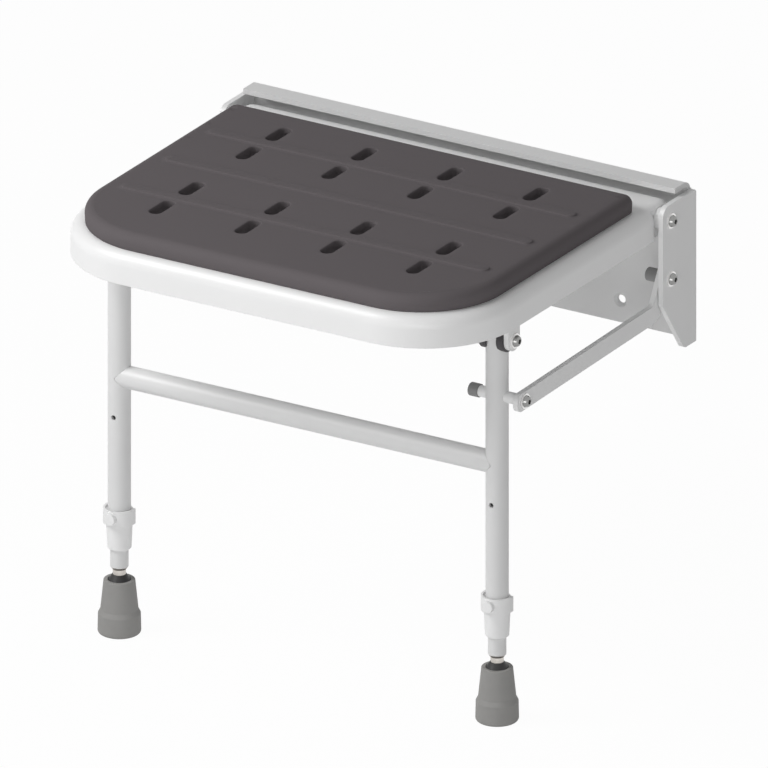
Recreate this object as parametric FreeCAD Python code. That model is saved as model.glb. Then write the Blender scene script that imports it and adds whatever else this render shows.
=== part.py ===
import FreeCAD
import Part
import math
import os

# A fold down wall seat with a padded seat and two height adjustable legs.
# Millimetres. The origin is the centre of the four wall fixing holes, on the back face of the wall
# plate. +X is to the right for someone facing the wall, +Y goes into the wall and +Z is up, so the
# seat stands out along -Y. The seat is drawn folded down, with its feet on the floor.

# The two pivot lines on the wall bracket and the two on each leg. Seen from the side they are the
# corners of a parallelogram, which keeps the legs upright while the seat folds.
pivot_out = 52.0
seat_pivot_up = 82.3
pivot_spacing = 67.0
leg_pivot_up = 41.3
floor_drop = 401.5

# Wall bracket: a bent plate between two cheeks
cheek_half_span = 277.6
cheek_thickness = 6.0
cheek_front_margin = 16.1
cheek_above_pivot = 18.7
cheek_top_chamfer = 2.5
cheek_corner_radius = 12.0
cheek_slant_top = -11.5
cheek_slant_radius = 5.0
cheek_toe_out = 24.8
cheek_bottom = -74.5
cheek_toe_radius = 9.0
plate_thickness = 6.0
plate_bottom_above_cheek = 4.0
bend_inner_radius = 6.0
flange_above_cheek = 9.2
flange_depth = 31.0
flange_end_gap = 1.4
wall_hole_spacing_x = 372.0
wall_hole_spacing_z = 90.0
wall_hole_radius = 5.0
wall_countersink_radius = 8.0

# Seat shell, moulded, open underneath and ribbed
seat_side_gap = 4.4
seat_front_out = 469.7
seat_rear_out = 26.0
seat_thickness = 36.0
seat_top_above_pivot = 16.0
seat_front_corner = 110.0
seat_rear_corner = 16.0
seat_edge_radius = 14.5
shell_wall = 4.0
rib_thickness = 3.0
rib_depth = 6.0
notch_depth = 5.2
notch_front_out = 70.0
hinge_block_length = 30.0
hinge_block_front_out = 80.0

# Pad, moulded foam with a skin, lying on the shell
pad_side_margin = 15.4
pad_front_margin = 10.7
pad_rear_out = 90.0
pad_thickness = 20.0
pad_front_corner = 100.0
pad_rear_corner = 11.0
pad_edge_radius = 10.0
bar_pitch = 89.25
bars_behind_middle = 17.2
bar_end_margin = 22.8
bar_width = 14.0
bar_height = 1.5
bar_edge_radius = 1.1
slot_pitch_x = 107.3
slot_from_bar = 30.6
slot_width = 14.6
slot_length = 40.0
slot_edge_radius = 1.2

# Legs, a crossbar and the brackets that carry the legs
leg_side_margin = 30.9
leg_behind_front = 128.7
tube_radius = 12.5
tube_wall = 2.0
leg_top_above_pivot = 12.0
leg_bottom_above_floor = 112.0
crossbar_above_floor = 297.0
front_hole_radius = 2.8
front_hole_above_floor = 252.0
plug_dome = 2.0
plug_depth = 14.0
saddle_radius = 14.0
saddle_tip = 6.8
saddle_face = 15.1
ear_thickness = 6.0
ear_radius = 11.7
bracket_base_thickness = 5.0
bracket_half_length = 28.0
bracket_side_margin = 2.0
screw_radius = 3.0
screw_head_radius = 5.5
screw_head_height = 3.0
screw_length = 16.0
screw_offset_x = 8.0
screw_offset_y = 21.0

# Pivot bolts with a shoulder, washers, lock nuts and the covers over them
shoulder_radius = 4.0
thread_radius = 3.0
bolt_head_radius = 6.8
bolt_head_height = 4.4
socket_across_flats = 5.0
socket_depth = 2.6
washer_radius = 8.5
washer_thickness = 1.6
leg_washer_thickness = 2.4
nut_across_flats = 10.0
nut_height = 6.0
thread_beyond_nut = 2.0
cover_radius = 7.5
cover_edge_radius = 1.5
cover_length = 12.0
cheek_cover_length = 15.7
bush_radius = 6.0
hinge_spacer_radius = 12.0

# The link on the right side, a flat bar with rounded ends and a bend near the wall
link_thickness = 6.0
link_width = 20.4
link_end_margin = 14.0
link_end_radius = 8.0
link_cheek_gap = 1.0
link_bend_out = 71.0
link_bend_above_end = 5.8
link_bend_radius = 8.0
sleeve_radius = 6.3
sleeve_edge = 0.5
sleeve_inner_reach = 8.8

# Height adjustment: a guide collar on the leg's end, a push-in clip with a pin, and the foot's tube
collar_radius = 15.0
collar_top_above_floor = 143.0
collar_waist_radius = 14.3
collar_waist_above_floor = 127.0
collar_end_radius = 13.0
collar_bottom_above_floor = 97.0
collar_chamfer = 2.0
clip_radius = 17.5
clip_bottom_above_floor = 128.0
clip_top_above_floor = 145.0
clip_arm_length = 4.5
pin_radius = 3.0
pin_above_floor = 137.0
pin_reach = 9.5
button_radius = 6.7
button_height = 4.5
foot_tube_radius = 9.9
foot_tube_wall = 1.9
foot_tube_bottom_above_floor = 77.0
foot_tube_above_last_hole = 13.0
height_step = 23.0
height_steps = 6
height_hole_radius = 3.4

# Foot: a stub in the tube's end, a soft core and a rubber ferrule
stub_radius = 7.15
stub_shoulder_radius = 7.9
stub_shoulder_height = 3.0
stub_plug_length = 16.0
stub_depth_in_ferrule = 24.0
core_above_ferrule = 6.0
ferrule_height = 62.0
ferrule_top_radius = 17.0
ferrule_mouth_radius = 12.35
ferrule_mouth_depth = 28.0
ferrule_cone_radius = 20.5
ferrule_step_height = 5.0
ferrule_base_radius = 23.0
ferrule_base_height = 23.0
ferrule_foot_radius = 23.5
ferrule_foot_rounding = 4.0

# Clearances
running_clearance = 0.05
loop_clearance = 0.3
side_play = 0.2
fit_clearance = 0.05
tube_clearance = 0.1
clip_clearance = 0.1
pin_clearance = 0.2

# Places worked out from the sizes above
cheek_inner = cheek_half_span - cheek_thickness
cheek_top = seat_pivot_up + cheek_above_pivot
flange_top = cheek_top + flange_above_cheek
plate_bottom = cheek_bottom + plate_bottom_above_cheek
seat_half_width = cheek_inner - seat_side_gap
pad_half_width = seat_half_width - pad_side_margin
pad_front_out = seat_front_out - pad_front_margin
bar_half_length = pad_half_width - bar_end_margin
bar_middle_out = (pad_front_out + pad_rear_out) / 2 - bars_behind_middle
leg_half_spacing = seat_half_width - leg_side_margin
leg_pivot_out = seat_front_out - leg_behind_front
seat_pivot = (-pivot_out, seat_pivot_up)
link_pivot = (-pivot_out, seat_pivot_up - pivot_spacing)
leg_pivot = (-leg_pivot_out, leg_pivot_up)
link_end = (-leg_pivot_out, leg_pivot_up - pivot_spacing)
floor_level = -floor_drop
link_outer = cheek_inner - link_cheek_gap
link_inner = link_outer - link_thickness
seat_top = seat_pivot_up + seat_top_above_pivot
seat_bottom = seat_top - seat_thickness
notch_half = seat_half_width - notch_depth
hinge_block_inner = notch_half - hinge_block_length
bracket_base_top = seat_bottom + bracket_base_thickness
ear_inner = saddle_face + side_play
ear_outer = ear_inner + ear_thickness
pin_up = floor_level + pin_above_floor


def vector(x, y, z):
    return FreeCAD.Vector(x, y, z)


X_AXIS = vector(1, 0, 0)
Y_AXIS = vector(0, 1, 0)
Z_AXIS = vector(0, 0, 1)


def rounded_face(corners, place):
    """A flat face whose outline has a rounded or sharp corner at each (a, b, radius)."""
    stretches = []
    for i, (a, b, radius) in enumerate(corners):
        here = vector(a, b, 0)
        before = vector(corners[i - 1][0], corners[i - 1][1], 0)
        following = corners[(i + 1) % len(corners)]
        after = vector(following[0], following[1], 0)
        into = (here - before).normalize()
        out = (after - here).normalize()
        turn = into.getAngle(out)
        if radius == 0:
            stretches.append([here])
            continue
        reach = radius * math.tan(turn / 2)
        inward = (out - into).normalize()
        middle = here + inward * (radius / math.cos(turn / 2) - radius)
        stretches.append([here - into * reach, middle, here + out * reach])
    edges = []
    for i, stretch in enumerate(stretches):
        points = [place(p.x, p.y) for p in stretch]
        if len(points) == 3:
            edges.append(Part.Arc(*points).toShape())
        start = stretches[(i + 1) % len(stretches)][0]
        target = place(start.x, start.y)
        if points[-1].distanceToPoint(target) > 1e-6:
            edges.append(Part.LineSegment(points[-1], target).toShape())
    return Part.Face(Part.Wire(edges))


def plan_solid(corners, bottom, top):
    """Straight sides over an outline of (x, y, radius) corners."""
    face = rounded_face(corners, lambda a, b: vector(a, b, bottom))
    return face.extrude(Z_AXIS * (top - bottom))


def side_solid(corners, x_from, x_to):
    """Straight sides over an outline of (y, z, radius) corners, along X."""
    face = rounded_face(corners, lambda a, b: vector(x_from, a, b))
    return face.extrude(X_AXIS * (x_to - x_from))


def cylinder_x(at, radius, x_from, x_to):
    low = min(x_from, x_to)
    return Part.makeCylinder(radius, abs(x_to - x_from), vector(low, *at), X_AXIS)


def cylinder_z(x, y, radius, bottom, top):
    return Part.makeCylinder(radius, top - bottom, vector(x, y, bottom), Z_AXIS)


def turned_z(x, y, corners):
    """A turned piece about an upright axis, from (radius, height, rounding) corners."""
    face = rounded_face(corners, lambda a, b: vector(x + a, y, b))
    return face.revolve(vector(x, y, 0), Z_AXIS, 360)


def turned_x(at, corners):
    """A turned piece about an axis along X, from (x, radius, rounding) corners."""
    y, z = at
    face = rounded_face(corners, lambda a, b: vector(a, y, z + b))
    return face.revolve(vector(0, y, z), X_AXIS, 360)


def box(x_from, x_to, y_from, y_to, z_from, z_to):
    return Part.makeBox(x_to - x_from, y_to - y_from, z_to - z_from, vector(x_from, y_from, z_from))


def hexagon_x(at, across_flats, x_from, x_to):
    corner = across_flats / math.sqrt(3)
    points = []
    for i in range(7):
        angle = math.radians(60 * i)
        points.append(vector(x_from, at[0] + corner * math.cos(angle), at[1] + corner * math.sin(angle)))
    return Part.Face(Part.makePolygon(points)).extrude(X_AXIS * (x_to - x_from))


def top_edges(shape, level, smallest=0.0):
    """The edges that lie in the flat plane at this level."""
    found = []
    for edge in shape.Edges:
        limits = edge.BoundBox
        if abs(limits.ZMin - level) < 1e-4 and abs(limits.ZMax - level) < 1e-4 and edge.Length > smallest:
            found.append(edge)
    return found


def mirrored(shape):
    return shape.mirror(vector(0, 0, 0), X_AXIS)


def both_sides(shapes):
    """The pieces given, for the right side, with their mirror images, as separate solids."""
    return Part.makeCompound(shapes + [mirrored(shape) for shape in shapes])


def washer(at, x_from, thickness):
    ring = cylinder_x(at, washer_radius, x_from, x_from + thickness)
    return ring.cut(cylinder_x(at, shoulder_radius + fit_clearance, x_from, x_from + thickness))


def pivot_bolt(at, head_face, shoulder_end):
    """A button head on the outside, a shoulder that the joint turns on, and a thinner thread."""
    head_top = head_face + bolt_head_height
    head = turned_x(
        at,
        [
            (head_face, 0, 0),
            (head_face, bolt_head_radius, 0.4),
            (head_top, bolt_head_radius * 0.72, bolt_head_height * 0.55),
            (head_top, 0, 0),
        ],
    )
    shoulder = cylinder_x(at, shoulder_radius, shoulder_end, head_face)
    thread_end = shoulder_end - nut_height - thread_beyond_nut
    thread = cylinder_x(at, thread_radius, thread_end, shoulder_end)
    socket = hexagon_x(at, socket_across_flats, head_top - socket_depth, head_top + 1)
    return head.fuse([shoulder, thread]).removeSplitter().cut(socket)


def lock_nut(at, outer_face):
    """A nut on the thread, with its outer face against what it holds."""
    body = hexagon_x(at, nut_across_flats, outer_face - nut_height, outer_face)
    return body.cut(cylinder_x(at, thread_radius + fit_clearance, outer_face - nut_height, outer_face))


def nut_cover(at, outer_face, length):
    """A moulded cup pushed over the nut and the end of the thread."""
    closed_end = outer_face - length
    cup = turned_x(
        at,
        [
            (closed_end, 0, 0),
            (closed_end, cover_radius, cover_edge_radius),
            (outer_face, cover_radius, 0),
            (outer_face, 0, 0),
        ],
    )
    pocket_radius = nut_across_flats / math.sqrt(3) + fit_clearance
    pocket_depth = nut_height + thread_beyond_nut + 1
    return cup.cut(cylinder_x(at, pocket_radius, outer_face - pocket_depth, outer_face))


def wall_plate():
    outer_radius = bend_inner_radius + plate_thickness
    profile = [
        (0, plate_bottom, 0),
        (0, flange_top, outer_radius),
        (-flange_depth, flange_top, 0),
        (-flange_depth, flange_top - plate_thickness, 0),
        (-plate_thickness, flange_top - plate_thickness, bend_inner_radius),
        (-plate_thickness, plate_bottom, 0),
    ]
    plate = side_solid(profile, -cheek_inner, cheek_inner)
    for side in (-1, 1):
        end = side * cheek_inner
        inset = side * (cheek_inner - flange_end_gap)
        corner = box(min(end, inset), max(end, inset), -flange_depth, 0, cheek_top, flange_top)
        plate = plate.cut(corner)
    sink = wall_countersink_radius - wall_hole_radius
    for x in (-wall_hole_spacing_x / 2, wall_hole_spacing_x / 2):
        for z in (-wall_hole_spacing_z / 2, wall_hole_spacing_z / 2):
            hole = Part.makeCylinder(wall_hole_radius, plate_thickness, vector(x, -plate_thickness, z), Y_AXIS)
            cone = Part.makeCone(
                wall_countersink_radius, wall_hole_radius, sink, vector(x, -plate_thickness, z), Y_AXIS
            )
            plate = plate.cut([hole, cone])
    return plate


def cheek(pivots):
    front = -(pivot_out + cheek_front_margin)
    outline = [
        (0, cheek_bottom, 0),
        (0, cheek_top - cheek_top_chamfer, 0),
        (-cheek_top_chamfer, cheek_top, 0),
        (front, cheek_top, cheek_corner_radius),
        (front, cheek_slant_top, cheek_slant_radius),
        (-cheek_toe_out, cheek_bottom, cheek_toe_radius),
    ]
    side = side_solid(outline, cheek_inner, cheek_half_span)
    for at in pivots:
        side = side.cut(cylinder_x(at, shoulder_radius + fit_clearance, cheek_inner, cheek_half_span))
    return side


def seat_outline(half_width, front_out, rear_out, front_corner, rear_corner):
    return [
        (-half_width, -front_out, front_corner),
        (half_width, -front_out, front_corner),
        (half_width, -rear_out, rear_corner),
        (-half_width, -rear_out, rear_corner),
    ]


def drain_places():
    """The centres of the drain slots: four columns, and a row on each side of the outer two bars."""
    for column in (-1.5, -0.5, 0.5, 1.5):
        for bar in (-1, 1):
            for side in (-1, 1):
                yield column * slot_pitch_x, -bar_middle_out + bar * bar_pitch + side * slot_from_bar


def drain_slot(x, y, bottom, top):
    end = slot_width / 2
    half = slot_length / 2
    corners = [
        (x - end, y - half, end),
        (x + end, y - half, end),
        (x + end, y + half, end),
        (x - end, y + half, end),
    ]
    return plan_solid(corners, bottom, top)


def seat_ribs(cavity):
    """Ribs both ways between the drain slots, kept inside the cavity."""
    ribs = []
    half = rib_thickness / 2
    high = seat_top - shell_wall
    low = high - rib_depth
    for step in (1, 3, 5, 7):
        for side in (-1, 1):
            x = side * step * slot_pitch_x / 4
            ribs.append(box(x - half, x + half, -seat_front_out, -seat_rear_out, low, high))
    for step in (-2, -1, 0, 1):
        y = -bar_middle_out + step * bar_pitch
        ribs.append(box(-seat_half_width, seat_half_width, y - half, y + half, low, high))
    return [rib.common(cavity) for rib in ribs]


def seat_shell():
    outline = seat_outline(
        seat_half_width, seat_front_out, seat_rear_out, seat_front_corner, seat_rear_corner
    )
    shell = plan_solid(outline, seat_bottom, seat_top)
    shell = shell.makeFillet(seat_edge_radius, top_edges(shell, seat_top))
    inner_outline = seat_outline(
        seat_half_width - shell_wall,
        seat_front_out - shell_wall,
        seat_rear_out + shell_wall,
        seat_front_corner - shell_wall,
        seat_rear_corner - shell_wall,
    )
    inner_top = seat_top - shell_wall
    cavity = plan_solid(inner_outline, seat_bottom, inner_top)
    cavity = cavity.makeFillet(seat_edge_radius - shell_wall, top_edges(cavity, inner_top))
    blocks = []
    bracket_half = ear_outer + bracket_side_margin
    for side in (-1, 1):
        near = side * hinge_block_inner
        far = side * seat_half_width
        x_from, x_to = min(near, far), max(near, far)
        blocks.append(box(x_from, x_to, -hinge_block_front_out, -seat_rear_out, seat_bottom, seat_top))
        near = side * (leg_half_spacing - bracket_half - shell_wall)
        x_from, x_to = min(near, far), max(near, far)
        y_from = -leg_pivot_out - bracket_half_length - shell_wall
        y_to = -leg_pivot_out + bracket_half_length + shell_wall
        blocks.append(box(x_from, x_to, y_from, y_to, bracket_base_top, seat_top))
    cavity_left = cavity.cut(blocks + seat_ribs(cavity))
    shell = shell.cut(cavity_left)
    for side in (-1, 1):
        near = side * notch_half
        far = side * (seat_half_width + 1)
        shell = shell.cut(
            box(min(near, far), max(near, far), -notch_front_out, 0, seat_bottom - 1, seat_top + 1)
        )
        x_from, x_to = side * hinge_block_inner, side * notch_half
        shell = shell.cut(cylinder_x(seat_pivot, bush_radius + fit_clearance, x_from, x_to))
        for x, y in bracket_screw_places():
            shell = shell.cut(
                cylinder_z(
                    side * x, y, screw_radius + fit_clearance, bracket_base_top, seat_bottom + screw_length
                )
            )
    for x, y in drain_places():
        shell = shell.cut(drain_slot(x, y, inner_top - 1, seat_top + 1))
    return shell


def seat_pad():
    outline = seat_outline(pad_half_width, pad_front_out, pad_rear_out, pad_front_corner, pad_rear_corner)
    top = seat_top + pad_thickness
    pad = plan_solid(outline, seat_top, top)
    pad = pad.makeFillet(pad_edge_radius, top_edges(pad, top))
    for step in (-1, 0, 1):
        y = -bar_middle_out + step * bar_pitch
        half = bar_width / 2
        corners = [
            (-bar_half_length, y - half, half),
            (bar_half_length, y - half, half),
            (bar_half_length, y + half, half),
            (-bar_half_length, y + half, half),
        ]
        bar = plan_solid(corners, top - bar_height, top + bar_height)
        bar = bar.makeFillet(bar_edge_radius, top_edges(bar, top + bar_height))
        pad = pad.fuse(bar)
    for x, y in drain_places():
        slot = drain_slot(x, y, seat_top - 1, top)
        slot_edges = top_edges(slot, top)
        mouth = slot.makeFillet(slot_edge_radius, slot_edges)
        wide = drain_slot(x, y, top - slot_edge_radius, top + 1)
        pad = pad.cut(mouth.fuse(wide))
    return pad


def bracket_screw_places():
    for dx in (-screw_offset_x, screw_offset_x):
        for dy in (-screw_offset_y, screw_offset_y):
            yield leg_half_spacing + dx, -leg_pivot_out + dy


def leg_bracket():
    """A clevis under the seat: a base plate let into the shell and two ears that hold the leg."""
    half = ear_outer + bracket_side_margin
    y_front = -leg_pivot_out - bracket_half_length
    y_back = -leg_pivot_out + bracket_half_length
    bracket = box(
        leg_half_spacing - half, leg_half_spacing + half, y_front, y_back, seat_bottom, bracket_base_top
    )
    y, z = leg_pivot
    ear_outline = [
        (y - ear_radius, bracket_base_top, 0),
        (y - ear_radius, z - ear_radius, ear_radius * 0.999),
        (y + ear_radius, z - ear_radius, ear_radius * 0.999),
        (y + ear_radius, bracket_base_top, 0),
    ]
    for inner, outer in ((-ear_outer, -ear_inner), (ear_inner, ear_outer)):
        ear = side_solid(ear_outline, leg_half_spacing + inner, leg_half_spacing + outer)
        bracket = bracket.fuse(ear)
    bracket = bracket.removeSplitter()
    bore = cylinder_x(
        leg_pivot, shoulder_radius + fit_clearance, leg_half_spacing - half, leg_half_spacing + half
    )
    bracket = bracket.cut(bore)
    for x, y in bracket_screw_places():
        hole = cylinder_z(x, y, screw_radius + fit_clearance, seat_bottom, bracket_base_top)
        bracket = bracket.cut(hole)
    return bracket


def bracket_screw(x, y):
    head_low = seat_bottom - screw_head_height
    head = turned_z(
        x,
        y,
        [
            (0, head_low, 0),
            (screw_head_radius, head_low, screw_head_height * 0.6),
            (screw_head_radius, seat_bottom, 0),
            (0, seat_bottom, 0),
        ],
    )
    shank = cylinder_z(x, y, screw_radius, seat_bottom, seat_bottom + screw_length)
    cross_half = screw_head_radius * 0.55
    cross_wide = 0.7
    screw = head.fuse(shank)
    for half_x, half_y in ((cross_half, cross_wide), (cross_wide, cross_half)):
        screw = screw.cut(
            box(x - half_x, x + half_x, y - half_y, y + half_y, head_low, head_low + screw_head_height / 2)
        )
    return screw


def leg_tube(with_link):
    top = leg_pivot_up + leg_top_above_pivot
    bottom = floor_level + leg_bottom_above_floor
    y = -leg_pivot_out
    tube = cylinder_z(leg_half_spacing, y, tube_radius, bottom, top)
    tube = tube.cut(cylinder_z(leg_half_spacing, y, tube_radius - tube_wall, bottom, top))
    low_x = leg_half_spacing - tube_radius
    high_x = leg_half_spacing + tube_radius
    tube = tube.cut(cylinder_x(leg_pivot, bush_radius + fit_clearance, low_x, high_x))
    if with_link:
        tube = tube.cut(cylinder_x(link_end, sleeve_radius + fit_clearance, low_x, high_x))
    front = y - tube_radius
    for up, radius in (
        (floor_level + front_hole_above_floor, front_hole_radius),
        (pin_up, pin_radius + pin_clearance),
    ):
        tube = tube.cut(Part.makeCylinder(radius, tube_radius, vector(leg_half_spacing, front, up), Y_AXIS))
    return tube


def crossbar():
    """A tube between the legs, its ends shaped to sit on them."""
    at = (-leg_pivot_out, floor_level + crossbar_above_floor)
    bar = cylinder_x(at, tube_radius, -leg_half_spacing, leg_half_spacing)
    bar = bar.cut(cylinder_x(at, tube_radius - tube_wall, -leg_half_spacing, leg_half_spacing))
    low = at[1] - 2 * tube_radius
    high = at[1] + 2 * tube_radius
    for side in (-1, 1):
        leg = cylinder_z(side * leg_half_spacing, at[0], tube_radius, low, high)
        bar = bar.cut(leg)
    solids = sorted(bar.Solids, key=lambda solid: solid.Volume)
    return solids[-1]


def leg_top_plug():
    top = leg_pivot_up + leg_top_above_pivot
    bore = tube_radius - tube_wall - fit_clearance
    plug = turned_z(
        leg_half_spacing,
        -leg_pivot_out,
        [
            (0, top - plug_depth, 0),
            (bore, top - plug_depth, 0),
            (bore, top, 0),
            (tube_radius, top, 0),
            (tube_radius, top + plug_dome, plug_dome * 0.8),
            (0, top + plug_dome, 0),
        ],
    )
    passage = cylinder_x(
        leg_pivot,
        bush_radius + fit_clearance,
        leg_half_spacing - tube_radius,
        leg_half_spacing + tube_radius,
    )
    return plug.cut(passage)


def leg_bush():
    x_from = leg_half_spacing - tube_radius
    x_to = leg_half_spacing + tube_radius
    bush = cylinder_x(leg_pivot, bush_radius, x_from, x_to)
    low = leg_pivot_up - bush_radius
    high = leg_pivot_up + bush_radius
    bush = bush.common(cylinder_z(leg_half_spacing, -leg_pivot_out, tube_radius, low, high))
    return bush.cut(cylinder_x(leg_pivot, shoulder_radius + running_clearance, x_from, x_to))


def saddle_spacers():
    """Round spacers that hug the leg's sides and bear on the ears."""
    spacers = []
    for side in (-1, 1):
        tip = leg_half_spacing + side * saddle_tip
        face = leg_half_spacing + side * saddle_face
        disc = cylinder_x(leg_pivot, saddle_radius, tip, face)
        low = leg_pivot_up - 2 * saddle_radius
        high = leg_pivot_up + 2 * saddle_radius
        leg = cylinder_z(leg_half_spacing, -leg_pivot_out, tube_radius + fit_clearance, low, high)
        plug_top = leg_pivot_up + leg_top_above_pivot
        hole = cylinder_x(leg_pivot, shoulder_radius + loop_clearance, tip, face)
        spacer = disc.cut([leg, hole])
        over_leg = box(
            leg_half_spacing - saddle_radius,
            leg_half_spacing + saddle_radius,
            -leg_pivot_out - saddle_radius,
            -leg_pivot_out + saddle_radius,
            plug_top,
            high,
        )
        solids = sorted(spacer.cut(over_leg.common(leg)).Solids, key=lambda solid: solid.Volume)
        spacers.append(solids[-1])
    return spacers


def link_sleeve():
    """A sleeve through the leg, which the link and the nut bear on."""
    inner_end = leg_half_spacing - tube_radius - sleeve_inner_reach
    outer_end = link_inner - side_play
    sleeve = turned_x(
        link_end,
        [
            (inner_end, 0, 0),
            (inner_end, sleeve_radius, sleeve_edge),
            (outer_end, sleeve_radius, sleeve_edge),
            (outer_end, 0, 0),
        ],
    )
    return sleeve.cut(cylinder_x(link_end, shoulder_radius + fit_clearance, inner_end, outer_end))


def link():
    """A flat bar from the right leg to the wall bracket, bent up near the wall."""
    half = link_width / 2
    bend = (-link_bend_out, link_end[1] + link_bend_above_end)
    first = vector(bend[0] - link_end[0], bend[1] - link_end[1], 0).normalize()
    second = vector(link_pivot[0] - bend[0], link_pivot[1] - bend[1], 0).normalize()
    left_of_first = vector(-first.y, first.x, 0)
    left_of_second = vector(-second.y, second.x, 0)
    turn = first.getAngle(second)
    mitre = (left_of_first + left_of_second).normalize() * (half / math.cos(turn / 2))
    start = vector(link_end[0], link_end[1], 0) - first * link_end_margin
    corner = vector(bend[0], bend[1], 0)
    finish = vector(link_pivot[0], link_pivot[1], 0) + second * link_end_margin
    points = [
        (start - left_of_first * half, link_end_radius),
        (corner - mitre, link_bend_radius + link_width),
        (finish - left_of_second * half, link_end_radius),
        (finish + left_of_second * half, link_end_radius),
        (corner + mitre, link_bend_radius),
        (start + left_of_first * half, link_end_radius),
    ]
    bar = side_solid([(p.x, p.y, radius) for p, radius in points], link_inner, link_outer)
    bar = bar.cut(cylinder_x(link_end, shoulder_radius + loop_clearance, link_inner, link_outer))
    return bar.cut(cylinder_x(link_pivot, shoulder_radius + running_clearance, link_inner, link_outer))


def guide_collar():
    """A moulded collar on the end of the leg, which guides the foot's tube."""
    bottom = floor_level + collar_bottom_above_floor
    waist = floor_level + collar_waist_above_floor
    top = floor_level + collar_top_above_floor
    step = floor_level + leg_bottom_above_floor
    guide = foot_tube_radius + tube_clearance
    seat = tube_radius + fit_clearance
    collar = turned_z(
        leg_half_spacing,
        -leg_pivot_out,
        [
            (guide, bottom, 0),
            (collar_end_radius - collar_chamfer, bottom, 0),
            (collar_end_radius, bottom + collar_chamfer, 0.8),
            (collar_waist_radius, waist, 0),
            (collar_radius, waist, 0),
            (collar_radius, top, 0.8),
            (seat, top, 0),
            (seat, step, 0),
            (guide, step, 0),
        ],
    )
    front = -leg_pivot_out - collar_radius
    hole = Part.makeCylinder(
        pin_radius + pin_clearance, collar_radius, vector(leg_half_spacing, front, pin_up), Y_AXIS
    )
    return collar.cut(hole)


def height_clip():
    """A half ring with short arms, a button in front and a pin through the leg into the foot's tube."""
    low = floor_level + clip_bottom_above_floor
    high = floor_level + clip_top_above_floor
    y = -leg_pivot_out
    bore = collar_radius + clip_clearance
    ring = cylinder_z(leg_half_spacing, y, clip_radius, low, high)
    ring = ring.common(
        box(leg_half_spacing - clip_radius, leg_half_spacing + clip_radius, y - clip_radius, y, low, high)
    )
    arms = box(
        leg_half_spacing - clip_radius, leg_half_spacing + clip_radius, y, y + clip_arm_length, low, high
    )
    clip = ring.fuse(arms).removeSplitter()
    clip = clip.cut(cylinder_z(leg_half_spacing, y, bore, low, high))
    clip = clip.cut(box(leg_half_spacing - bore, leg_half_spacing + bore, y, y + clip_arm_length, low, high))
    button_face = y - clip_radius - button_height
    inside = y - collar_radius - clip_clearance
    button = Part.makeCylinder(
        button_radius, inside - button_face, vector(leg_half_spacing, button_face, pin_up), Y_AXIS
    )
    button = button.makeFillet(0.8, [e for e in button.Edges if e.BoundBox.YMax < button_face + 0.01])
    button = button.cut(cylinder_z(leg_half_spacing, y, bore, low, high))
    pin_tip = y - pin_reach + tube_wall + 1
    pin = Part.makeCylinder(
        pin_radius, pin_tip - button_face - 1, vector(leg_half_spacing, button_face + 1, pin_up), Y_AXIS
    )
    return clip.fuse([button, pin]).removeSplitter()


def foot_tube():
    bottom = floor_level + foot_tube_bottom_above_floor
    top = pin_up + height_steps * height_step + foot_tube_above_last_hole
    y = -leg_pivot_out
    tube = cylinder_z(leg_half_spacing, y, foot_tube_radius, bottom, top)
    tube = tube.cut(cylinder_z(leg_half_spacing, y, foot_tube_radius - foot_tube_wall, bottom, top))
    front = y - foot_tube_radius
    for step in range(height_steps + 1):
        at = vector(leg_half_spacing, front, pin_up + step * height_step)
        tube = tube.cut(Part.makeCylinder(height_hole_radius, 2 * foot_tube_radius, at, Y_AXIS))
    return tube


def foot_stub():
    """A plug in the end of the foot's tube with a thinner stub that goes into the ferrule."""
    tube_end = floor_level + foot_tube_bottom_above_floor
    shoulder = tube_end - stub_shoulder_height
    low = floor_level + ferrule_height - stub_depth_in_ferrule
    bore = foot_tube_radius - foot_tube_wall - fit_clearance
    return turned_z(
        leg_half_spacing,
        -leg_pivot_out,
        [
            (0, low, 0),
            (stub_radius, low, 0.8),
            (stub_radius, shoulder, 0),
            (stub_shoulder_radius, shoulder, 0),
            (foot_tube_radius, tube_end, 0),
            (bore, tube_end, 0),
            (bore, tube_end + stub_plug_length, 0.8),
            (0, tube_end + stub_plug_length, 0),
        ],
    )


def ferrule_core():
    """A soft core that fills the ferrule's mouth and holds the stub."""
    mouth = floor_level + ferrule_height
    low = mouth - ferrule_mouth_depth
    stub_low = mouth - stub_depth_in_ferrule
    return turned_z(
        leg_half_spacing,
        -leg_pivot_out,
        [
            (0, low, 0),
            (ferrule_mouth_radius - fit_clearance, low, 0),
            (ferrule_mouth_radius - fit_clearance, mouth - 1, 1.0),
            (stub_radius + 0.6, mouth + core_above_ferrule, 0.5),
            (stub_radius + fit_clearance, mouth + core_above_ferrule, 0),
            (stub_radius + fit_clearance, stub_low, 0),
            (0, stub_low, 0),
        ],
    )


def ferrule():
    low = floor_level
    mouth = low + ferrule_height
    base_top = low + ferrule_base_height
    return turned_z(
        leg_half_spacing,
        -leg_pivot_out,
        [
            (0, low, 0),
            (ferrule_foot_radius, low, ferrule_foot_rounding),
            (ferrule_base_radius, base_top, 0.8),
            (ferrule_cone_radius, base_top + ferrule_step_height, 1.5),
            (ferrule_top_radius, mouth, 1.2),
            (ferrule_mouth_radius, mouth, 0.8),
            (ferrule_mouth_radius, mouth - ferrule_mouth_depth, 0),
            (0, mouth - ferrule_mouth_depth, 0),
        ],
    )


def hinge_spacer():
    x_from = notch_half + side_play
    ring = cylinder_x(seat_pivot, hinge_spacer_radius, x_from, cheek_inner)
    return ring.cut(cylinder_x(seat_pivot, shoulder_radius + fit_clearance, x_from, cheek_inner))


def hinge_bush():
    bush = cylinder_x(seat_pivot, bush_radius, hinge_block_inner, notch_half)
    return bush.cut(cylinder_x(seat_pivot, shoulder_radius + running_clearance, hinge_block_inner, notch_half))


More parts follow.
